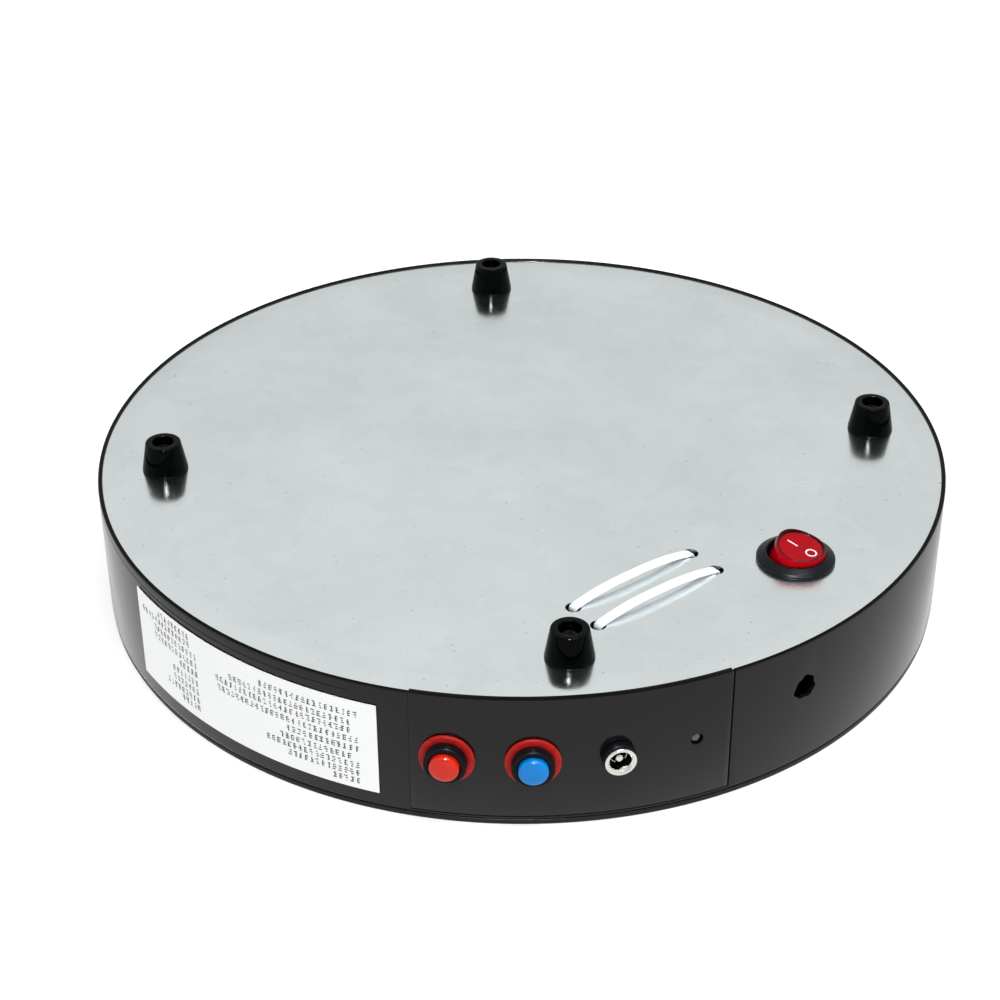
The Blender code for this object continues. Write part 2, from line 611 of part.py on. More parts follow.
def make_platter():
    r, (z0, z1) = PLATTER_R, PLATTER_Z
    add('platter', lathe([
        (0.0, z1), (r - 0.5, z1), (r, z1 - 0.4), (r, z0), (PLATTER_CORE_R, z0),
        (PLATTER_CORE_R, PLATTER_CORE_Z), (HUB_R, PLATTER_CORE_Z), (HUB_R, HUB_Z),
        (SPINDLE_R + 0.15, HUB_Z), (SPINDLE_R + 0.15, 47.6), (0.0, 47.6)], SEG), 'platter_black')


def make_rollers():
    w, r = ROLLER_W / 2, ROLLER_R
    tyre = [(AXLE_R + 0.07, -w), (r - 0.5, -w), (r, -w + 0.5), (r, w - 0.5), (r - 0.5, w), (AXLE_R + 0.07, w)]
    for k, a in enumerate(ROLLER_A, 1):
        place = radial(a, ROLLER_Z, ROLLER_RAD)
        add('roller_%d' % k, lathe(tyre, 16), 'grey_tyre', **place)
        add('roller_axle_%d' % k, disc(AXLE_R, -6.3, 6.3, 16), 'steel', **place)


def move_to_origin():
    for ob in bpy.data.objects:
        if ob.parent is None:
            ob.location.y += AXIS_Y * MM
            ob.location.z -= FOOT_Z * MM


def main():
    clear_scene()
    make_housing()
    make_panel()
    make_plate()
    make_label()
    make_feet()
    make_ties()
    make_battery()
    make_switch()
    make_button('red', RED_A, 'red_plastic')
    make_button('blue', BLUE_A, 'blue_plastic')
    make_jack()
    make_led()
    make_board()
    make_wires()
    make_drive()
    make_platter()
    make_rollers()
    move_to_origin()


main()
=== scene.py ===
"""Looks of the motorised turntable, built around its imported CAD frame.

The part stands upright in its own frame; the camera looks at its underside from below
and is rolled over, so that the turntable appears lying on its platter.
Shapes are made in mm about the platter axis and placed by AXIS.
"""
import json
import random
from math import atan2, cos, pi, radians, sin, sqrt, tan

import bmesh
import bpy
from mathutils import Euler, Matrix, Vector


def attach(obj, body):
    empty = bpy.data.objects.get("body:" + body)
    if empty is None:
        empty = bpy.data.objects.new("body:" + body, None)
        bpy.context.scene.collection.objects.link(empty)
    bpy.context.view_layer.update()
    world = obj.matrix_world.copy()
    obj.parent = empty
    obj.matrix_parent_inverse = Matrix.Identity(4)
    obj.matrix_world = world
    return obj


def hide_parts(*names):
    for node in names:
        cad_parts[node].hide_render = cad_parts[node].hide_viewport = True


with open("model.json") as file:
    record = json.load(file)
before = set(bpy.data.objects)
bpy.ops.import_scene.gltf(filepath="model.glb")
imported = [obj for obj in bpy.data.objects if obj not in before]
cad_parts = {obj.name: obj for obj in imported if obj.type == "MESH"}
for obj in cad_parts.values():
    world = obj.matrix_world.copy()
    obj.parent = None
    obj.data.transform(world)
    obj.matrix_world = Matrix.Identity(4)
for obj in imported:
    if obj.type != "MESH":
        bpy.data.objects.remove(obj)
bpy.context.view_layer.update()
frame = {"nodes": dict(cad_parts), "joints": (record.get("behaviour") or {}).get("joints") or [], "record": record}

MM = 0.001
JOINTS = {joint["name"]: joint for joint in frame["joints"]}
FOOT_Z = 0.6             # shapes are drawn this much above the ground, then set down
AXIS = Vector((*JOINTS["platter_spin"]["pos_m"][:2], -FOOT_Z * MM))

# ---- sizes shared with the CAD model (mm, degrees) ---------------------------
R_SKIRT, R_SKIRT_IN, R_RING = 125.0, 123.75, 120.0
Z_RIM, Z_SKIRT_TOP = 8.7, 47.4
DECK_Z = (41.6, 43.6)
BUSH_HOLE_R = 7.3
PANEL_A, PANEL_R, PANEL_Z = (250.42, 289.38), (123.2, 125.0), (8.7, 46.4)
SIDE_HOLE = (239.5, 23.2, 3.6)
PLATE_R, PLATE_Z, PLATE_LIFT = 123.7, (9.6, 10.6), 0.42
FEET = {"right": (105.4, -1.1), "back": (-1.2, 104.6), "left": (-106.0, -0.7), "front": (-1.1, -105.8)}
SWITCH_C, SWITCH_DIR, SWITCH_FACE_Z, SWITCH_PIVOT = (-68.5, -68.1), 220.0, 7.15, 4.65
ROCKER_TILT = 11.0
SWITCH_ROT = (180, 0, SWITCH_DIR)
MARK_PROUD, MARK_SUNK = 0.03, 0.12
TIE_C, TIE_A, TIE_HALF, TIE_GAP = (-25.3, -77.7), 148.0, 20.9, 10.3
TIE_W, TIE_T = 2.8, 0.85
BATT_SHIFT, BATT_L, BATT_W, BATT_H, BATT_Z = 12.0, 70.0, 37.0, 18.4, 10.9
BUTTON_A, BUTTON_Z, WASHER_SAG = {"red": 284.9, "blue": 274.8}, 28.0, 0.05
JACK_A, JACK_Z, LED_A, LED_Z = 264.75, 27.9, 254.9, 27.7
LABEL_A, LABEL_Z, LABEL_R = (293.3, 333.1), (14.0, 42.5), (125.3, 125.5)
LABEL_LEAN = (0.45, -0.95)   # the paper is stuck on slightly askew
PLATTER_R, PLATTER_Z = 124.8, (47.8, 49.5)
ROLLER_RAD, ROLLER_Z, ROLLER_W = 95.0, 40.9, 5.0
ROLLER_A = (45.0, 135.0, 225.0, 315.0)
MOTOR_Y, BRACKET_SCREW_X = 37.5, 28.5
BOARD_POSTS, BOARD_TOP = ((27.0, -81.0), (57.0, -63.0)), 34.6
ROUND = 256              # steps round the drum
RING_SPACING = 0.07      # pattern size of the tool marks on the platter
FLOOR_GLOW = 0.66        # light that the floor gives off


# ---- materials ---------------------------------------------------------------
def node(tree, kind, **inputs):
    made = tree.nodes.new(kind)
    for key, value in inputs.items():
        made.inputs[key.replace("_", " ")].default_value = value
    return made


def noise(tree, coords, scale, detail=3.0, rough=0.5):
    made = node(tree, "ShaderNodeTexNoise", Scale=scale, Detail=detail, Roughness=rough)
    tree.links.new(coords, made.inputs["Vector"])
    return made.outputs["Fac"]


def spread(tree, value, low, high, from_low=0.3, from_high=0.7):
    made = node(tree, "ShaderNodeMapRange", From_Min=from_low, From_Max=from_high,
                To_Min=low, To_Max=high)
    tree.links.new(value, made.inputs["Value"])
    return made.outputs["Result"]


def colour_between(tree, factor, first, second):
    made = tree.nodes.new("ShaderNodeMix")
    made.data_type = "RGBA"
    made.inputs["A"].default_value = (*first, 1.0)
    made.inputs["B"].default_value = (*second, 1.0)
    tree.links.new(factor, made.inputs["Factor"])
    return made.outputs["Result"]


def multiplied(tree, first, second):
    made = tree.nodes.new("ShaderNodeMix")
    made.data_type = "RGBA"
    made.blend_type = "MULTIPLY"
    made.inputs["Factor"].default_value = 1.0
    tree.links.new(first, made.inputs["A"])
    tree.links.new(second, made.inputs["B"])
    return made.outputs["Result"]


def bump(tree, height, distance, normal=None):
    made = node(tree, "ShaderNodeBump", Strength=1.0, Distance=distance)
    tree.links.new(height, made.inputs["Height"])
    if normal:
        tree.links.new(normal, made.inputs["Normal"])
    return made.outputs["Normal"]


def surface(name, colour, rough, metal=0.0, specular=0.5, mottle=0.08, mottle_size=20.0,
            rough_swing=0.04, grain=0.0, grain_size=0.6, wave=0.0, wave_size=40.0,
            coat=0.0, subsurface=0.0):
    """A finish whose colour, gloss and level all wander; sizes and heights in mm."""
    mat = bpy.data.materials.new(name)
    mat.use_nodes = True
    tree = mat.node_tree
    shader = tree.nodes["Principled BSDF"]
    coords = tree.nodes.new("ShaderNodeTexCoord").outputs["Object"]
    patches = spread(tree, noise(tree, coords, 1000.0 / mottle_size, 5.0), 0.0, 1.0)
    tree.links.new(colour_between(tree, patches, [c * (1 - mottle) for c in colour],
                                  [min(1.0, c * (1 + mottle)) for c in colour]),
                   shader.inputs["Base Color"])
    gloss = noise(tree, coords, 2300.0 / mottle_size, 4.0)
    tree.links.new(spread(tree, gloss, max(0.02, rough - rough_swing), rough + rough_swing),
                   shader.inputs["Roughness"])
    normal = None
    if wave:
        normal = bump(tree, noise(tree, coords, 1000.0 / wave_size, 1.0), wave * MM)
    if grain:
        normal = bump(tree, noise(tree, coords, 1000.0 / grain_size, 2.0), grain * MM, normal)
    if normal:
        tree.links.new(normal, shader.inputs["Normal"])
    shader.inputs["Metallic"].default_value = metal
    shader.inputs["Specular IOR Level"].default_value = specular
    shader.inputs["Coat Weight"].default_value = coat
    shader.inputs["Coat Roughness"].default_value = 0.05
    shader.inputs["Subsurface Weight"].default_value = subsurface
    shader.inputs["Subsurface Scale"].default_value = 0.002
    return mat


def galvanised_sheet():
    """Zinc sheet: soft cloudy patches, faint crystal spangle and a slightly broken mirror."""
    mat = surface("galvanised_sheet", (0.70, 0.745, 0.74), 0.16, metal=1.0, mottle=0.045,
                  mottle_size=38.0, rough_swing=0.05, grain=0.011, grain_size=0.9,
                  wave=0.02, wave_size=60.0)
    tree = mat.node_tree
    shader = tree.nodes["Principled BSDF"]
    coords = tree.nodes.new("ShaderNodeTexCoord").outputs["Object"]
    crystal = node(tree, "ShaderNodeTexVoronoi", Scale=150.0)
    tree.links.new(coords, crystal.inputs["Vector"])
    cell = tree.nodes.new("ShaderNodeSeparateColor")
    tree.links.new(crystal.outputs["Color"], cell.inputs["Color"])
    spangle = colour_between(tree, cell.outputs["Red"], (0.965, 0.965, 0.965), (1, 1, 1))
    specks = spread(tree, noise(tree, coords, 620.0, 2.0), 0.0, 1.0, 0.70, 0.76)
    dust = colour_between(tree, specks, (1, 1, 1), (0.72, 0.74, 0.76))
    plain = shader.inputs["Base Color"].links[0].from_socket
    tree.links.new(multiplied(tree, multiplied(tree, plain, spangle), dust), shader.inputs["Base Color"])
    # duller where the switch was pressed in
    away = tree.nodes.new("ShaderNodeVectorMath")
    away.operation = "DISTANCE"
    tree.links.new(coords, away.inputs[0])
    away.inputs[1].default_value = (SWITCH_C[0] * MM, SWITCH_C[1] * MM, PLATE_Z[0] * MM)
    duller = tree.nodes.new("ShaderNodeMath")
    duller.operation = "ADD"
    tree.links.new(shader.inputs["Roughness"].links[0].from_socket, duller.inputs[0])
    tree.links.new(spread(tree, away.outputs["Value"], 0.10, 0.0, 0.013, 0.020), duller.inputs[1])
    tree.links.new(duller.outputs["Value"], shader.inputs["Roughness"])
    return mat


def turned_rings():
    """Satin moulding with fine concentric tool marks about the platter axis."""
    mat = surface("platter_satin_black", (0.017, 0.017, 0.018), 0.30, specular=0.15, mottle=0.10,
                  rough_swing=0.05, grain=0.002, grain_size=0.3)
    tree = mat.node_tree
    shader = tree.nodes["Principled BSDF"]
    coords = tree.nodes.new("ShaderNodeTexCoord").outputs["Object"]
    rings = node(tree, "ShaderNodeTexWave", Scale=50.0 / RING_SPACING, Distortion=0.0, Detail=0.0)
    rings.wave_type = "RINGS"
    rings.rings_direction = "Z"
    tree.links.new(coords, rings.inputs["Vector"])
    old = shader.inputs["Normal"].links[0].from_socket
    tree.links.new(bump(tree, rings.outputs["Fac"], 0.004 * MM, old), shader.inputs["Normal"])
    return mat


def paper_painted_glow():
    """Coated paper given a faint glow: painted light that brightens the label."""
    mat = surface("coated_paper", (0.93, 0.94, 0.95), 0.38, specular=0.6, mottle=0.02, mottle_size=14.0,
                  grain=0.003, grain_size=0.35, wave=0.02, wave_size=9.0)
    shader = mat.node_tree.nodes["Principled BSDF"]
    # painted light: the paper glows though it is no lamp
    shader.inputs["Emission Color"].default_value = (0.96, 0.98, 1.0, 1.0)
    shader.inputs["Emission Strength"].default_value = 0.12
    return mat


M = {
    "black_gloss": surface("drum_gloss_black", (0.0068, 0.0070, 0.0068), 0.10, specular=0.33,
                           mottle=0.12, mottle_size=60.0, rough_swing=0.03, grain=0.0006,
                           grain_size=0.8, wave=0.02, wave_size=28.0),
    # the rim top is a darker, duller copy of the wall's plastic: painted shade
    "rim_shaded_black": surface("rim_black_painted_shade", (0.0015, 0.0018, 0.0015), 0.35, specular=0.05, grain=0.004),
    "bezel_black": surface("bezel_satin_black", (0.004, 0.0055, 0.008), 0.30, specular=0.12, grain=0.004,
                           grain_size=0.25),
    "black_rubber": surface("foot_gloss_black", (0.0004, 0.0007, 0.0009), 0.06, specular=0.06,
                            mottle=0.2, rough_swing=0.02, mottle_size=6.0, grain=0.001,
                            wave=0.02, wave_size=4.0),
    "galvanised": galvanised_sheet(),
    "steel": surface("zinc_plated_steel", (0.55, 0.56, 0.57), 0.28, metal=1.0, mottle_size=4.0,
                     rough_swing=0.08, grain=0.002),
    # the foot screw heads, down in the foot recesses, are made near black
    "dark_screw": surface("near_black_steel", (0.012, 0.012, 0.013), 0.22, specular=0.4, mottle_size=2.0,
                          grain=0.002),
    "chrome": surface("nickel_plate", (0.86, 0.86, 0.83), 0.06, metal=1.0, mottle=0.03, mottle_size=2.0,
                      rough_swing=0.03, wave=0.004, wave_size=2.0),
    "brass": surface("turned_brass", (0.72, 0.52, 0.22), 0.28, metal=1.0, mottle_size=3.0, grain=0.003),
    "red_clear": surface("clear_red_plastic", (0.36, 0.0, 0.005), 0.09, specular=0.07, mottle=0.12,
                         mottle_size=4.0, rough_swing=0.03, wave=0.01, wave_size=3.0),
    # darker copy of the clear red for the key's rim band: painted shade where little light comes through
    "red_rim_shade": surface("clear_red_plastic_painted_shade", (0.032, 0.002, 0.003), 0.10, specular=0.14, mottle=0.3,
                        mottle_size=3.0),
    "red_plastic": surface("cap_red_plastic", (0.68, 0.017, 0.003), 0.11, specular=0.42, mottle=0.07,
                           mottle_size=3.0, rough_swing=0.015, grain=0.0015, grain_size=0.25),
    "blue_plastic": surface("cap_blue_plastic", (0.0, 0.22, 0.67), 0.11, specular=0.36, mottle=0.07,
                            mottle_size=3.0, rough_swing=0.015, grain=0.0015, grain_size=0.25),
    "red_washer": surface("washer_red_fibre", (0.48, 0.014, 0.011), 0.42, specular=0.16, mottle=0.16,
                          mottle_size=1.5, grain=0.01, grain_size=0.4),
    "white_nylon": surface("white_nylon_strap", (0.80, 0.81, 0.86), 0.34, specular=0.25, mottle=0.02,
                           mottle_size=8.0, grain=0.004, grain_size=0.5, subsurface=0.12),
    "paper": paper_painted_glow(),
    "ink": surface("grey_ink", (0.07, 0.075, 0.09), 0.5, specular=0.3, mottle=0.3, mottle_size=0.8),
    "mark_white": surface("white_mark", (0.86, 0.85, 0.85), 0.35, mottle=0.04, mottle_size=0.8),
    "blue_wrap": surface("battery_wrap", (0.03, 0.11, 0.42), 0.25, mottle_size=9.0,
                         wave=0.05, wave_size=6.0),
    "board_green": surface("board_green", (0.02, 0.16, 0.06), 0.35, mottle=0.25,
                           mottle_size=2.5, grain=0.01),
    "white_gear": surface("acetal_gear", (0.80, 0.79, 0.74), 0.38, mottle_size=10.0, grain=0.002),
    "grey_tyre": surface("roller_rubber", (0.07, 0.07, 0.07), 0.60, grain=0.01, grain_size=0.3),
    "lens": surface("lamp_resin", (0.10, 0.105, 0.10), 0.12, mottle_size=1.0, coat=0.4),
    "red_wire": surface("red_insulation", (0.60, 0.02, 0.02), 0.40, mottle_size=4.0, grain=0.003),
    "black_wire": surface("black_insulation", (0.015, 0.015, 0.015), 0.40, mottle_size=4.0, grain=0.003),
    "platter_black": turned_rings(),
}


# ---- mesh helpers (mm) ---------------------------------------------------------
def rounded(points, steps=4, closed=True):
    """Outline of (x, y) or (x, y, radius) corners with the given ones rounded off."""
    out = []
    count = len(points)
    for i, point in enumerate(points):
        here = Vector(point[:2])
        if len(point) < 3 or (not closed and i in (0, count - 1)):
            out.append(tuple(here))
            continue
        back = Vector(points[i - 1][:2]) - here
        ahead = Vector(points[(i + 1) % count][:2]) - here
        half = back.angle(ahead) / 2
        reach = min(point[2] / tan(half), 0.49 * back.length, 0.49 * ahead.length)
        radius = reach * tan(half)
        centre = here + (back.normalized() + ahead.normalized()).normalized() * (radius / sin(half))
        start = here + back.normalized() * reach - centre
        sweep = start.angle_signed(here + ahead.normalized() * reach - centre)
        for k in range(steps + 1):
            a = -sweep * k / steps
            c, s = cos(a), sin(a)
            out.append((centre.x + start.x * c - start.y * s, centre.y + start.x * s + start.y * c))
    return out


def lathe(profile, segs, bm=None):
    """Turned solid about local Z from a closed (r, z) outline."""
    bm = bm or bmesh.new()
    verts = [bm.verts.new((r, 0.0, z)) for r, z in profile]
    loop = verts + ([] if profile[0][0] < 1e-6 and profile[-1][0] < 1e-6 else verts[:1])
    edges = [bm.edges.new(pair) for pair in zip(loop, loop[1:])]
    bmesh.ops.spin(bm, geom=verts + edges, cent=(0, 0, 0), axis=(0, 0, 1), angle=2 * pi,
                   steps=segs, use_merge=True)
    bmesh.ops.remove_doubles(bm, verts=bm.verts, dist=1e-4)
    return bm


def prism(outline, z0, z1, bm=None):
    bm = bm or bmesh.new()
    face = bm.faces.new([bm.verts.new((x, y, z0)) for x, y in outline])
    grown = bmesh.ops.extrude_face_region(bm, geom=[face])["geom"]
    moved = [one for one in grown if isinstance(one, bmesh.types.BMVert)]
    bmesh.ops.translate(bm, vec=(0, 0, z1 - z0), verts=moved)
    return bm


def circle(r, n, cx=0.0, cy=0.0):
    return [(cx + r * cos(2 * pi * i / n), cy + r * sin(2 * pi * i / n)) for i in range(n)]


def disc(r, z0, z1, n=32, cx=0.0, cy=0.0, bm=None):
    return prism(circle(r, n, cx, cy), z0, z1, bm)


def polar(r, a):
    return r * cos(radians(a)), r * sin(radians(a))


def sector(r0, r1, a0, a1, z0, z1, step=0.7, bm=None):
    n = max(2, round((a1 - a0) / step))
    angles = [a0 + (a1 - a0) * i / n for i in range(n + 1)]
    return prism([polar(r1, a) for a in angles] + [polar(r0, a) for a in reversed(angles)], z0, z1, bm)


def slab(angle, rad, tang, z, bm):
    """Box spanning rad, tang and z (from, to) at an angle round the axis."""
    c, s = cos(radians(angle)), sin(radians(angle))
    corners = ((rad[0], tang[0]), (rad[1], tang[0]), (rad[1], tang[1]), (rad[0], tang[1]))
    return prism([(r * c - t * s, r * s + t * c) for r, t in corners], z[0], z[1], bm)


def at(x=0.0, y=0.0, z=0.0, rot=(0, 0, 0)):
    """Placement in mm about the platter axis, rot in degrees."""
    turn = Euler([radians(a) for a in rot]).to_matrix().to_4x4()
    return Matrix.Translation((x, y, z)) @ turn


def radial(a, z, r=R_SKIRT):
    """Placement whose local +Z points out of the wall at angle a, local +Y up."""
    x, y = polar(r, a)
    return at(x, y, z, (90, 0, a + 90))


def build(name, bm, material, place=None, smooth=35.0):
    """Object from a bmesh in mm."""
    bmesh.ops.scale(bm, vec=(MM, MM, MM), verts=bm.verts)
    bmesh.ops.recalc_face_normals(bm, faces=bm.faces)
    mesh = bpy.data.meshes.new(name)
    bm.to_mesh(mesh)
    bm.free()
    piece = bpy.data.objects.new(name, mesh)
    bpy.context.scene.collection.objects.link(piece)
    for one in material if isinstance(material, (list, tuple)) else [material]:
        mesh.materials.append(one)
    mesh.shade_smooth()
    mesh.set_sharp_from_angle(angle=radians(smooth))
    place = place or Matrix.Identity(4)
    piece.matrix_world = Matrix.Translation(AXIS + place.to_translation() * MM) @ place.to_3x3().to_4x4()
    return piece


def apply_modifiers(piece, smooth=35.0):
    bpy.context.view_layer.update()
    graph = bpy.context.evaluated_depsgraph_get()
    mesh = bpy.data.meshes.new_from_object(piece.evaluated_get(graph))
    piece.modifiers.clear()
    piece.data = mesh
    mesh.shade_smooth()
    mesh.set_sharp_from_angle(angle=radians(smooth))
    return piece


def cut(piece, bm, operation="DIFFERENCE", place=None):
    """Boolean of a piece with a bmesh in mm; applied at once."""
    tool = build("tool", bm, piece.data.materials[0], place)
    mod = piece.modifiers.new("cut", "BOOLEAN")
    mod.operation = operation
    mod.object = tool
    mod.solver = "EXACT"
    apply_modifiers(piece)
    bpy.data.objects.remove(tool, do_unlink=True)
    return piece


def bevel(piece, width, segments=2, angle=40.0):
    mod = piece.modifiers.new("bevel", "BEVEL")
    mod.width = width * MM
    mod.segments = segments
    mod.limit_method = "ANGLE"
    mod.angle_limit = radians(angle)
    mod.harden_normals = False
    return apply_modifiers(piece)


def belongs(piece, body, slot, *nodes):
    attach(piece, body)
    if nodes:
        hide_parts(*nodes)
    return piece


def paint_faces(piece, index, test):
    for face in piece.data.polygons:
        if test(face):
            face.material_index = index


# ---- drum ---------------------------------------------------------------------
def make_housing():
    d0, d1 = DECK_Z
    ri, ro = R_SKIRT_IN, R_SKIRT
    body = build("drum_housing", lathe(rounded([
        (BUSH_HOLE_R, d0), (ri, d0), (ri, Z_RIM, 0.35), (ro, Z_RIM, 0.6), (ro, Z_SKIRT_TOP, 0.5),
        (R_RING, Z_SKIRT_TOP, 0.3), (R_RING, d1, 0.3), (BUSH_HOLE_R, d1)]), ROUND),
        [M["black_gloss"], M["rim_shaded_black"]])
    posts = bmesh.new()
    for x, y in FEET.values():
        disc(4.5, PLATE_Z[1] + 0.3, d0 + 0.4, 32, x, y, posts)
    for x, y in BOARD_POSTS:
        disc(2.6, BOARD_TOP + 0.3, d0 + 0.4, 24, x, y, posts)
    for a in ROLLER_A:
        for s in (-1, 1):
            near = ROLLER_RAD + s * (ROLLER_W / 2 + 0.8)
            slab(a, sorted((near, near + s * 3.2)), (-2.8, 2.8), (ROLLER_Z - 2.6, d0 + 0.4), posts)
    cut(body, posts, "UNION")
    holes = bmesh.new()
    for x, y in FEET.values():
        disc(1.9, 5.0, 30.0, 24, x, y, holes)
    for sx in (-1, 1):
        disc(1.8, 41.0, 44.5, 24, sx * BRACKET_SCREW_X, MOTOR_Y, holes)
    half = ROLLER_W / 2 + 0.8
    for a in ROLLER_A:
        slab(a, (ROLLER_RAD - half, ROLLER_RAD + half), (-5.7, 5.7), (d0 - 0.6, d1 + 0.6), holes)
    cut(body, holes)
    for a in ROLLER_A:
        cut(body, disc(1.07, -7.5, 7.5, 24), place=radial(a, ROLLER_Z, ROLLER_RAD))
    cut(body, sector(122.4, 128.0, PANEL_A[0] - 0.20, PANEL_A[1] + 0.10, 4.0, PANEL_Z[1] + 0.28))
    a, z, r = SIDE_HOLE
    ragged = []
    for i in range(48):
        t = 2 * pi * i / 48
        reach = r * (1 + 0.07 * sin(3 * t + 0.6) + 0.05 * sin(7 * t))
        ragged.append((reach * cos(t), reach * sin(t)))
    cut(body, prism(ragged, -8.0, 8.0), place=radial(a, z))
    # fine moulding line low on the wall
    cut(body, sector(R_SKIRT - 0.13, R_SKIRT + 2, 297.0, 378.0, 11.3, 11.65))
    rim_end = (Z_RIM + 0.2) * MM
    # painted shade: the flat rim faces take the darker copy of the wall plastic
    paint_faces(body, 1, lambda f: f.center.z < rim_end and abs(f.normal.z) > 0.5)
    return belongs(body, "base", "black_gloss", "housing")


def make_panel():
    panel = build("panel_insert", sector(*PANEL_R, PANEL_A[0], PANEL_A[1] + 0.08, *PANEL_Z),
                  [M["black_gloss"], M["rim_shaded_black"]])
    bevel(panel, 0.12)
    for a, z, r in ((BUTTON_A["red"], BUTTON_Z, 4.9), (BUTTON_A["blue"], BUTTON_Z, 4.9),
                    (JACK_A, JACK_Z, 4.25), (LED_A, LED_Z, 1.75)):
        cut(panel, disc(r, -8.0, 8.0, 48), place=radial(a, z))
    rim_end = (Z_RIM + 0.1) * MM
    # painted shade: the flat rim faces take the darker copy of the wall plastic
    paint_faces(panel, 1, lambda f: f.center.z < rim_end and abs(f.normal.z) > 0.5)
    belongs(panel, "base", "black_gloss", "control_panel")
    marks = bmesh.new()
    raised = ((JACK_A - 0.35, 17.4, (0.8, 0.9, 0.9, 0.8)), (JACK_A - 0.35, 18.7, (1.6, 0.9, 1.4)),
              (LED_A - 0.85, 17.2, (0.5, 1.4)), (BUTTON_A["blue"] - 1.9, 17.4, (0.4, 0.4)),
              (BUTTON_A["red"] - 4.8, 22.8, (0.4,)))
    for angle, z, widths in raised:
        x = -sum(widths) / 2 - 0.15 * len(widths)
        for w in widths:
            a0 = angle - (x + w) / R_SKIRT * 180 / pi
            sector(R_SKIRT - 0.1, R_SKIRT + 0.07, a0, a0 + w / R_SKIRT * 180 / pi, z, z + 0.5, bm=marks)
            x += w + 0.4
    dashes = build("panel_dashes", marks, M["black_gloss"])
    return belongs(dashes, "base", "black_gloss")


def tie_point(s, t):
    """Plan position at s along the strands and t along the battery."""
    c, k = cos(radians(TIE_A)), sin(radians(TIE_A))
    return TIE_C[0] + s * c + t * k, TIE_C[1] + s * k - t * c


def make_plate():
    z0, z1 = PLATE_Z
    # the border bends a little towards the rim
    outline = rounded([(0.0, z0), (96.0, z0), (106.0, z0 - 0.12 * PLATE_LIFT),
                       (115.0, z0 - 0.5 * PLATE_LIFT), (PLATE_R, z0 - PLATE_LIFT, 0.05),
                       (PLATE_R, z1, 0.15), (0.0, z1)], closed=False)
    plate = build("bottom_sheet", lathe(outline, ROUND), M["galvanised"])
    holes = bmesh.new()
    for x, y in FEET.values():
        disc(1.9, z0 - 2, z1 + 2, 32, x, y, holes)
    for sx in (-1, 1):
        for sy in (-1, 1):
            disc(2.2, z0 - 2, z1 + 2, 40, *tie_point(sx * TIE_HALF, sy * TIE_GAP / 2), holes)
    disc(10.0, z0 - 2, z1 + 2, 64, *SWITCH_C, holes)
    cut(plate, holes)
    return belongs(plate, "base", "galvanised", "base_plate")


def lean(bm):
    """Slide what is on the wall up or down by its place along the label."""
    for vert in bm.verts:
        along = (atan2(vert.co.y, vert.co.x) * 180 / pi % 360 - LABEL_A[0]) / (LABEL_A[1] - LABEL_A[0])
        vert.co.z += LABEL_LEAN[0] + (LABEL_LEAN[1] - LABEL_LEAN[0]) * along
    return bm


def make_label():
    label = build("paper_label", lean(sector(*LABEL_R, *LABEL_A, *LABEL_Z)), M["paper"])
    belongs(label, "base", "paper", "label")
    rng = random.Random(7)
    width, height = LABEL_A[1] - LABEL_A[0], LABEL_Z[1] - LABEL_Z[0]
    # (start, end) along the label and how far down it, for two blocks of plain bars
    rows = [(0.06, 0.15, 0.09), (0.06, 0.31, 0.18), (0.06, 0.37, 0.27), (0.085, 0.32, 0.36),
            (0.06, 0.31, 0.46), (0.06, 0.57, 0.56), (0.085, 0.57, 0.66), (0.085, 0.52, 0.75),
            (0.06, 0.40, 0.85),
            (0.67, 0.75, 0.13), (0.67, 0.83, 0.22), (0.67, 0.79, 0.32), (0.67, 0.79, 0.42),
            (0.67, 0.75, 0.53), (0.67, 0.89, 0.63), (0.67, 0.90, 0.73), (0.70, 0.96, 0.83),
            (0.70, 0.86, 0.92)]
    bars = bmesh.new()
    cell = 0.60          # degrees taken by one block
    for start, end, down in rows:
        z = LABEL_Z[1] - down * height
        u = start
        while u < end:
            a0 = LABEL_A[0] + u * width
            for level in (-0.72, 0.0, 0.72):     # thin strokes one above the other
                left, right = rng.uniform(0.0, 0.30), rng.uniform(0.45, 1.0)
                sector(LABEL_R[1] - 0.02, LABEL_R[1] + 0.02, a0 + left * cell, a0 + right * cell,
                       z + level - 0.17, z + level + 0.17, bm=bars)
            if rng.random() < 0.6:
                mid = a0 + rng.uniform(0.2, 0.7) * cell
                sector(LABEL_R[1] - 0.02, LABEL_R[1] + 0.021, mid, mid + 0.13, z - 0.8, z + 0.8, bm=bars)
            u += cell * 1.28 / width
    return belongs(build("label_bars", lean(bars), M["ink"]), "base", "paper")


# ---- feet ----------------------------------------------------------------------
def make_feet():
    top = PLATE_Z[0] - FOOT_Z - 0.03
    cone = rounded([(3.1, 0.0, 0.3), (5.1, 0.0, 0.4), (6.7, 8.55, 0.4), (6.4, top, 0.1), (1.9, top),
                    (1.9, 4.2), (3.1, 4.2, 0.2)])
    head = rounded([(0.0, 2.0), (2.0, 2.1, 0.5), (2.75, 3.1, 0.4), (2.75, 3.9), (1.5, 3.9), (1.5, 23.2),
                    (0.6, 24.4), (0.0, 24.4)], closed=False)
    for name, (x, y) in FEET.items():
        foot = build("rubber_foot_" + name, lathe(cone, 96), M["black_rubber"], at(x, y, FOOT_Z))
        belongs(foot, "base", "black_rubber", "foot_" + name)
        screw = build("foot_fixing_" + name, lathe(head, 48), M["dark_screw"], at(x, y, FOOT_Z))
        for turn in (20.0, 110.0):      # each head stopped at an angle of its own
            cross = bmesh.new()
            slab(turn + x, (-1.5, 1.5), (-0.32, 0.32), (1.0, 3.0), cross)
            cut(screw, cross, place=at(x, y, FOOT_Z))
        belongs(screw, "base", "steel", "foot_screw_" + name)


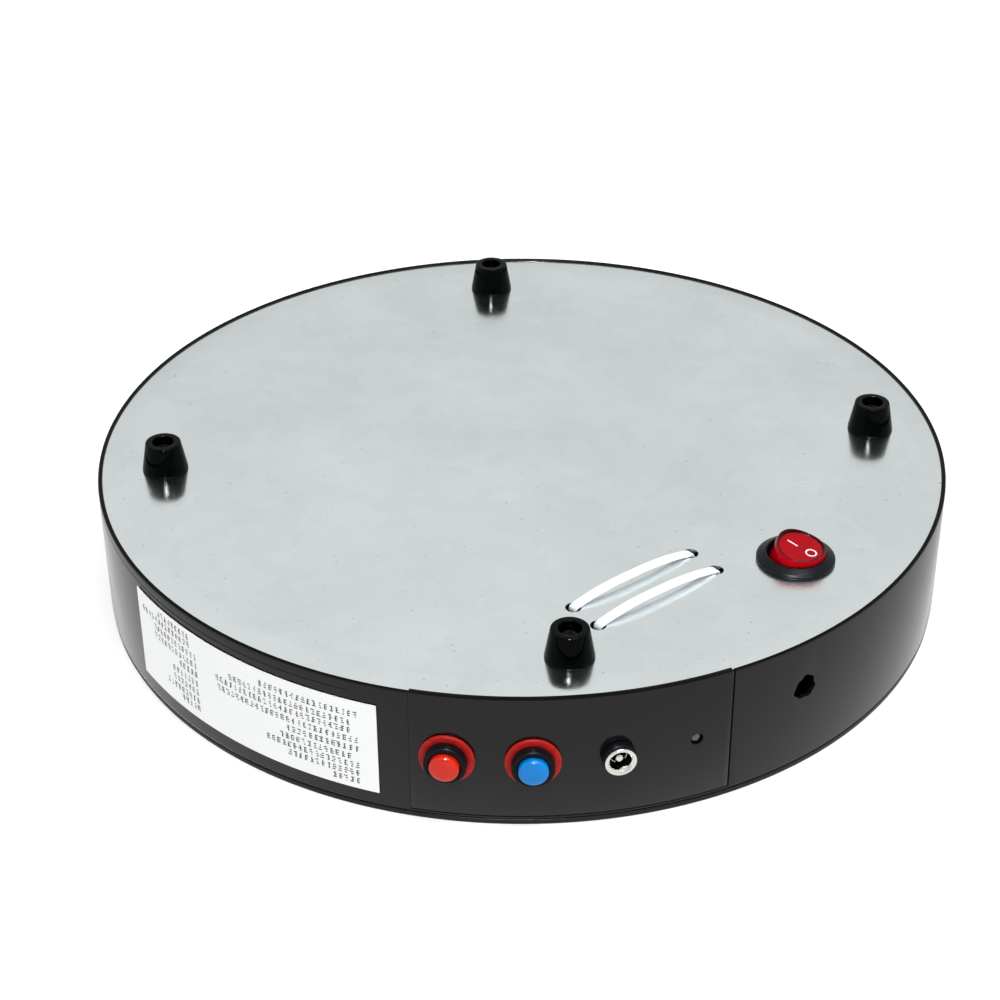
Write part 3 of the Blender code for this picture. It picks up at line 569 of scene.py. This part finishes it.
# ---- cable ties ----------------------------------------------------------------
def smooth_loop(points, per):
    """Closed Catmull-Rom line through the points."""
    n = len(points)
    line = []
    for i in range(n):
        a, b, c, d = (Vector(points[(i + k) % n]) for k in (-1, 0, 1, 2))
        for k in range(per):
            t = k / per
            line.append(0.5 * (2 * b + (c - a) * t + (2 * a - 5 * b + 4 * c - d) * t * t
                               + (3 * b - a - 3 * c + d) * t ** 3))
    return line


def make_ties():
    """Bowed white straps under the sheet, up through its holes and over the battery pack."""
    bow, zp = 2.25, PLATE_Z[0]
    low = [(TIE_HALF * t, zp - bow * (1 - abs(t) ** 2.6) - 0.1) for t in
           (-0.93, -0.82, -0.66, -0.48, -0.25, 0.0, 0.25, 0.48, 0.66, 0.82, 0.93)]
    right = [(TIE_HALF, zp + 0.2), (TIE_HALF, zp + 1.9), (19.95, 16.0), (19.95, 28.2), (19.4, 29.6),
             (18.0, 30.3)]
    line = smooth_loop(low + right + [(9.0, 30.3), (0.0, 30.3), (-9.0, 30.3)]
                       + [(-x, z) for x, z in reversed(right)], 5)
    section = rounded([(-TIE_W / 2, -TIE_T / 2, 0.3), (TIE_W / 2, -TIE_T / 2, 0.3),
                       (TIE_W / 2, TIE_T / 2, 0.3), (-TIE_W / 2, TIE_T / 2, 0.3)], 2)
    for k, side in ((1, 1), (2, -1)):
        bm = bmesh.new()
        rings = []
        for i, here in enumerate(line):
            along = (line[(i + 1) % len(line)] - line[i - 1]).normalized()
            out = Vector((along.y, -along.x))
            rings.append([bm.verts.new((here.x + out.x * t, here.y + out.y * t, w)) for w, t in section])
        for one, two in zip(rings, rings[1:] + rings[:1]):
            for i in range(len(section)):
                j = (i + 1) % len(section)
                bm.faces.new((one[i], one[j], two[j], two[i]))
        x, y = tie_point(0, side * TIE_GAP / 2)
        place = at(x, y, 0, (90, 0, TIE_A))
        tie = build("nylon_tie_%d" % k, bm, M["white_nylon"], place, 50.0)
        head = prism(rounded([(6.2, 30.0, 0.4), (11.8, 30.0, 0.4), (11.8, 33.6, 0.6), (6.2, 33.6, 0.6)]),
                     -2.3, 2.3)
        cut(tie, head, "UNION", place)
        belongs(tie, "base", "white_nylon", "cable_tie_%d" % k)


def make_battery():
    r, w = BATT_H / 2, BATT_W / 2 - BATT_H / 2
    arc = [pi * i / 20 for i in range(21)]
    waist = 0.9
    outline = [(w + r * cos(t - pi / 2), r * sin(t - pi / 2)) for t in arc] + [(0.0, r - waist)]
    outline += [(-w + r * cos(t + pi / 2), r * sin(t + pi / 2)) for t in arc] + [(0.0, waist - r)]
    x, y = tie_point(0, BATT_SHIFT)
    pack = build("battery_cells", prism(outline, -BATT_L / 2, BATT_L / 2), M["blue_wrap"],
                 at(x, y, BATT_Z + r, (90, 0, TIE_A)))
    bevel(pack, 0.8, 3)
    return belongs(pack, "base", "blue_wrap", "battery_pack")


# ---- rocker switch -------------------------------------------------------------
def make_switch():
    place = at(*SWITCH_C, SWITCH_FACE_Z, SWITCH_ROT)
    body = build("switch_bezel", lathe(rounded([
        (0.0, -17.85), (9.7, -17.85, 0.5), (9.7, -2.15), (10.85, -2.15, 0.15), (10.85, -1.42, 0.25),
        (10.5, -1.22, 0.1), (10.3, -0.98, 0.2), (8.5, -0.05, 0.3), (8.05, 0.0, 0.2), (8.05, -12.25),
        (0.0, -12.25)], closed=False), 128), M["bezel_black"], place)
    cut(body, prism(circle(1.07, 24), -9.1, 9.1), place=place @ at(0, 0, -SWITCH_PIVOT, (90, 0, 0)))
    belongs(body, "base", "black_gloss", "switch_body")
    make_rocker(at(*SWITCH_C, SWITCH_FACE_Z + SWITCH_PIVOT, SWITCH_ROT) @ at(rot=(0, ROCKER_TILT, 0)))


def rocker_reach(turn, z):
    """Plan radius of the key: a taper, kept inside the bore at both tilts lower down."""
    taper = 7.75 if z < 3.8 else 7.75 - 0.95 * (z - 3.8) / 4.6
    bore, tilt = 7.75 + 0.5 * min(max(z - 5.4, 0.0), 1.5), radians(ROCKER_TILT)
    c, s = abs(cos(turn)) * cos(tilt), abs(z) * sin(tilt)
    a = c * c + sin(turn) ** 2
    return min(taper, (-c * s + sqrt(c * c * s * s - a * (s * s - bore * bore))) / a)


def rocker_top(x):
    """Height of the rim over the pivot: both ends stand higher than the middle."""
    return 7.0 + 1.2 * (x / 6.8) ** 2


def rocker_face(x):
    """Height of the sunk face inside the rim."""
    return 6.55 + 0.5 * (x / 6.8) ** 2


def make_rocker(place):
    steps = 96
    turns = [2 * pi * i / steps for i in range(steps)]
    # inset from the side and drop from the rim's crest, then the share of the way to the face
    crest = [(0.0, 0.45), (0.03, 0.28), (0.10, 0.13), (0.20, 0.04), (0.34, 0.0), (0.48, 0.03), (0.60, 0.12)]
    inner = [(0.66, 0.35), (0.70, 0.60), (0.77, 0.82), (0.90, 0.96), (1.10, 1.0)]
    bm = bmesh.new()
    rings = [[(rocker_reach(t, z) * cos(t), rocker_reach(t, z) * sin(t), z) for t in turns]
             for z in (-2.6, -1.0, 1.0, 3.0, 3.8, 4.6, 5.4, 5.9, 6.3)]
    sides = len(rings)
    for inset, drop in crest + inner:
        ring = []
        for t in turns:
            r = rocker_reach(t, rocker_top(rocker_reach(t, 7.5) * cos(t))) - inset
            x = r * cos(t)
            z = rocker_top(x) - drop
            if (inset, drop) in inner:
                z = rocker_top(x) * (1 - drop) + rocker_face(x) * drop - 0.12 * (1 - drop)
            ring.append((x, r * sin(t), z))
        rings.append(ring)
    edge = rings[-1]
    for share in (0.85, 0.7, 0.55, 0.4, 0.25, 0.12):
        rings.append([(x * share, y * share, rocker_face(x * share)) for x, y, z in edge])
    made = [[bm.verts.new(p) for p in ring] for ring in rings]
    for k, (one, two) in enumerate(zip(made, made[1:])):
        for i in range(steps):
            j = (i + 1) % steps
            face = bm.faces.new((one[i], one[j], two[j], two[i]))
            # painted shade: the rim's crest and inner wall take the darker red
            face.material_index = 1 if sides + 2 <= k < sides + 10 else 0
    bm.faces.new(list(reversed(made[0])))
    middle = bm.verts.new((0, 0, rocker_face(0)))
    for i in range(steps):
        bm.faces.new((made[-1][i], made[-1][(i + 1) % steps], middle))
    rocker = build("rocker_key", bm, [M["red_clear"], M["red_rim_shade"]], place)
    cut(rocker, disc(1.0, -8.8, 8.8, 24), "UNION", place @ at(rot=(90, 0, 0)))
    belongs(rocker, "rocker", "red_clear", "rocker")
    stroke = (-4.2, -2.6, -0.95)
    bar = mark([(x, -0.21) for x in stroke] + [(x, 0.21) for x in reversed(stroke)])
    ring = ring_mark(3.3, 0.0, 1.2, 1.62)
    for name, bm in (("rocker_mark_bar", bar), ("rocker_mark_ring", ring)):
        belongs(build(name, bm, M["mark_white"], place, 60.0), "rocker", "red_clear")


def mark(outline):
    """Thin inlay following the dished face."""
    bm = bmesh.new()
    rings = [[bm.verts.new((x, y, rocker_face(x) + h)) for x, y in outline]
             for h in (-MARK_SUNK, MARK_PROUD)]
    for i in range(len(outline)):
        j = (i + 1) % len(outline)
        bm.faces.new((rings[0][i], rings[0][j], rings[1][j], rings[1][i]))
    bm.faces.new(rings[1])
    bm.faces.new(list(reversed(rings[0])))
    return bm


def ring_mark(cx, cy, r0, r1):
    bm = bmesh.new()
    n = 48
    loops = []
    for r, h in ((r0, -MARK_SUNK), (r1, -MARK_SUNK), (r1, MARK_PROUD), (r0, MARK_PROUD)):
        loops.append([bm.verts.new((x, y, rocker_face(x) + h)) for x, y in circle(r, n, cx, cy)])
    for one, two in zip(loops, loops[1:] + loops[:1]):
        for i in range(n):
            j = (i + 1) % n
            bm.faces.new((one[i], one[j], two[j], two[i]))
    return bm


# ---- push buttons, socket and lamp ----------------------------------------------
def thread(r, z0, z1, pitch=0.75, depth=0.22):
    """Zigzag outline of a screw thread between two heights."""
    out, z = [], z0
    while z + pitch <= z1:
        out += [(r, z), (r - depth, z + pitch / 2)]
        z += pitch
    return out + [(r, z1)]


def make_button(name, finish):
    place = radial(BUTTON_A[name], BUTTON_Z)
    ring = rounded([(5.2, 0.15, 0.1), (7.3, 0.25, 0.12), (7.3, 1.1, 0.22), (5.2, 1.0, 0.15)], 3)
    washer = build(name + "_ring_washer", lathe(ring, 96), M["red_washer"],
                   radial(BUTTON_A[name], BUTTON_Z - WASHER_SAG))
    belongs(washer, "base", "red_washer", name + "_button_washer")
    tube = rounded([(0.0, -11.2)] + thread(4.5, -11.2, 1.4)
                   + [(5.65, 1.4, 0.15), (5.65, 3.9, 0.4), (4.2, 3.9, 0.2), (4.2, -9.6), (0.0, -9.6)],
                   closed=False)
    shell = build(name + "_button_shell", lathe(tube, 96), M["bezel_black"], place)
    belongs(shell, "base", "black_gloss", name + "_button_body")
    # hollow round its stem, where the return spring goes
    crown = rounded([(0.0, -3.2), (1.5, -3.2), (1.5, 0.8), (3.1, 0.8), (3.1, -1.4), (3.95, -1.4, 0.2),
                     (3.95, 5.45, 1.5), (2.2, 5.9, 3.0), (0.0, 6.05)], 6, closed=False)
    cap = build(name + "_button_top", lathe(crown, 96), M[finish], place)
    return belongs(cap, name + "_button", finish, name + "_button_cap")


def make_jack():
    place = radial(JACK_A, JACK_Z)
    outer = rounded([(0.0, -9.4)] + thread(3.95, -9.4, 0.35, 0.7, 0.2)
                    + [(4.55, 0.35, 0.15), (4.55, 2.5, 0.45), (3.8, 2.5), (3.8, -8.0), (0.0, -8.0)],
                    closed=False)
    barrel = build("socket_barrel", lathe(outer, 96), M["bezel_black"], place)
    belongs(barrel, "base", "black_gloss", "jack_barrel")
    lip = rounded([(2.8, -5.0), (3.5, -5.0), (3.5, 2.6), (4.2, 2.6, 0.15), (4.2, 3.4, 0.25),
                   (3.35, 3.4, 0.1), (2.95, 2.95, 0.1), (2.8, 2.6)])
    sleeve = build("socket_sleeve", lathe(lip, 96), M["chrome"], place)
    belongs(sleeve, "base", "chrome", "jack_sleeve")
    post = rounded([(0.0, -7.7), (3.4, -7.7), (3.4, -6.3), (1.0, -6.3), (1.0, 1.8, 0.45), (0.0, 1.8)],
                   closed=False)
    pin = build("socket_pin", lathe(post, 48), M["chrome"], place)
    belongs(pin, "base", "chrome", "jack_pin")


def make_led():
    bulb = rounded([(0.0, -6.0), (1.9, -6.0), (1.9, -5.0), (1.45, -5.0), (1.45, -0.7, 1.1), (0.0, -0.7)],
                   6, closed=False)
    lamp = build("charge_lamp", lathe(bulb, 48), M["lens"], radial(LED_A, LED_Z))
    belongs(lamp, "base", "lens", "charge_led")


# ---- platter ---------------------------------------------------------------------
def make_platter():
    r, (z0, z1) = PLATTER_R, PLATTER_Z
    # points beside each groove keep the smooth shading flat between them
    top = [(0.0, z1), (2.8, z1), (3.2, z1), (3.4, z1 - 0.12), (3.8, z1 - 0.12), (4.0, z1), (4.4, z1)]
    for groove in (25.0, 50.0, 75.0, 100.0):
        top += [(groove - 0.7, z1), (groove - 0.25, z1), (groove, z1 - 0.15), (groove + 0.25, z1),
                (groove + 0.7, z1)]
    below = [(r, z0, 0.2), (119.3, z0), (119.3, 46.2, 0.2), (14.0, 46.2), (14.0, 45.2),
             (4.15, 45.2), (4.15, 47.6), (0.0, 47.6)]
    outline = rounded(top + [(r - 1.2, z1), (r, z1, 0.45)] + below, closed=False)
    platter = build("turntable_top", lathe(outline, ROUND), M["platter_black"])
    return belongs(platter, "platter", "platter_black", "platter")


def finish_carried_nodes():
    """Every CAD node that stays gets its procedural finish."""
    slots = {part["node"]: part["material_slot"] for part in frame["record"]["subparts"]}
    for name, piece in frame["nodes"].items():
        if not piece.hide_render:
            piece.data.materials.clear()
            piece.data.materials.append(M[slots[name]])


# ---- stage, light and camera -------------------------------------------------------
def one_sided_plane(name, z, seen_from_above):
    """Pale floor that shows from one side only and casts nothing on the object."""
    bm = bmesh.new()
    size = 6000.0
    corners = [(-size, -size, z), (size, -size, z), (size, size, z), (-size, size, z)]
    face = bm.faces.new([bm.verts.new(p) for p in corners])
    if not seen_from_above:
        face.normal_flip()
    bmesh.ops.scale(bm, vec=(MM, MM, MM), verts=bm.verts)
    mesh = bpy.data.meshes.new(name)
    bm.to_mesh(mesh)
    bm.free()
    plane = bpy.data.objects.new(name, mesh)
    bpy.context.scene.collection.objects.link(plane)
    mat = bpy.data.materials.new(name)
    mat.use_nodes = True
    tree = mat.node_tree
    shader = tree.nodes["Principled BSDF"]
    shader.inputs["Base Color"].default_value = (0.55, 0.55, 0.55, 1.0)
    shader.inputs["Roughness"].default_value = 0.9
    shader.inputs["Specular IOR Level"].default_value = 0.1
    shader.inputs["Emission Color"].default_value = (1.0, 1.0, 1.0, 1.0)
    shader.inputs["Emission Strength"].default_value = FLOOR_GLOW
    mixer = tree.nodes.new("ShaderNodeMixShader")
    tree.links.new(tree.nodes.new("ShaderNodeNewGeometry").outputs["Backfacing"], mixer.inputs["Fac"])
    tree.links.new(shader.outputs[0], mixer.inputs[1])
    tree.links.new(tree.nodes.new("ShaderNodeBsdfTransparent").outputs[0], mixer.inputs[2])
    tree.links.new(mixer.outputs[0], tree.nodes["Material Output"].inputs["Surface"])
    mesh.materials.append(mat)
    for ray in ("visible_diffuse", "visible_glossy", "visible_transmission", "visible_shadow"):
        setattr(plane, ray, False)


def make_world():
    """Soft white surroundings, darker behind the camera.

    The camera itself sees plain white past the floor.
    """
    world = bpy.data.worlds.new("studio")
    bpy.context.scene.world = world
    world.use_nodes = True
    tree = world.node_tree
    back = tree.nodes["Background"]
    coords = tree.nodes.new("ShaderNodeTexCoord").outputs["Generated"]
    split = tree.nodes.new("ShaderNodeSeparateXYZ")
    tree.links.new(coords, split.inputs[0])
    floor_side = spread(tree, split.outputs["Z"], 0.0, 1.0, -0.12, 0.06)
    far_side = spread(tree, split.outputs["Y"], 0.0, 1.0, -0.95, -0.35)
    sky = colour_between(tree, far_side, (0.30, 0.30, 0.31), (0.92, 0.93, 0.93))
    mixed = tree.nodes.new("ShaderNodeMix")
    mixed.data_type = "RGBA"
    tree.links.new(floor_side, mixed.inputs["Factor"])
    low = colour_between(tree, spread(tree, split.outputs["Z"], 0.0, 1.0, -0.60, -0.42),
                         (1.0, 1.0, 1.0), (0.85, 0.85, 0.85))
    tree.links.new(multiplied(tree, sky, low), mixed.inputs["A"])
    mixed.inputs["B"].default_value = (0.86, 0.86, 0.85, 1.0)
    tree.links.new(mixed.outputs["Result"], back.inputs["Color"])
    plain = tree.nodes.new("ShaderNodeBackground")
    plain.inputs["Color"].default_value = (1.0, 1.0, 1.0, 1.0)
    choose = tree.nodes.new("ShaderNodeMixShader")
    tree.links.new(tree.nodes.new("ShaderNodeLightPath").outputs["Is Camera Ray"], choose.inputs["Fac"])
    tree.links.new(back.outputs[0], choose.inputs[1])
    tree.links.new(plain.outputs[0], choose.inputs[2])
    tree.links.new(choose.outputs[0], tree.nodes["World Output"].inputs["Surface"])


def area_light(name, place, aim, size, power):
    data = bpy.data.lights.new(name, "AREA")
    data.shape = "DISK"
    data.size = size
    data.energy = power
    lamp = bpy.data.objects.new(name, data)
    bpy.context.scene.collection.objects.link(lamp)
    lamp.location = place
    lamp.rotation_euler = (Vector(aim) - Vector(place)).to_track_quat("-Z", "Y").to_euler()
    return lamp


def make_lights():
    centre = (0.0, 0.0, 0.02)
    area_light("key_below", (-0.25, -0.35, -1.25), centre, 0.7, 9.0)
    spark = area_light("spark", (0.12, -0.66, -0.92), (0.0, -0.08, 0.02), 0.10, 25.0)
    spark.visible_diffuse = False     # only for the small bright dots on the caps
    fill = area_light("front_fill", (-0.35, -1.15, -0.2), (0.0, -0.1, 0.03), 0.5, 2.6)
    fill.visible_glossy = False
    area_light("key_above", (0.35, 0.75, 1.2), centre, 0.8, 10.0)


def make_camera():
    """The underside seen from below, turned over by the up direction."""
    place = AXIS + Vector((0.0601346, -0.5535480, -0.3256050))
    aim = AXIS + Vector((0.0091925, -0.0306780, 0.0087))
    roll = radians(-0.32573)
    forward = (aim - place).normalized()
    right = forward.cross(Vector((0, 0, -1))).normalized()
    up = right.cross(forward)
    turned_right = right * cos(roll) + up * sin(roll)
    turned_up = up * cos(roll) - right * sin(roll)
    data = bpy.data.cameras.new("camera")
    data.lens, data.sensor_width = 78.283, 36.0
    data.shift_x = -0.0008
    data.clip_start, data.clip_end = 0.01, 50.0
    camera = bpy.data.objects.new("camera", data)
    bpy.context.scene.collection.objects.link(camera)
    axes = Matrix((turned_right, turned_up, -forward)).transposed()
    camera.matrix_world = Matrix.Translation(place) @ axes.to_4x4()
    bpy.context.scene.camera = camera


def main():
    make_camera()
    make_world()
    make_lights()
    one_sided_plane("floor", -0.1, True)
    one_sided_plane("floor_under_platter", PLATTER_Z[1] - FOOT_Z + 0.1, False)
    make_housing()
    make_panel()
    make_plate()
    make_label()
    make_feet()
    make_ties()
    make_battery()
    make_switch()
    make_button("red", "red_plastic")
    make_button("blue", "blue_plastic")
    make_jack()
    make_led()
    make_platter()
    finish_carried_nodes()
    bpy.context.scene.view_settings.view_transform = "Standard"


main()
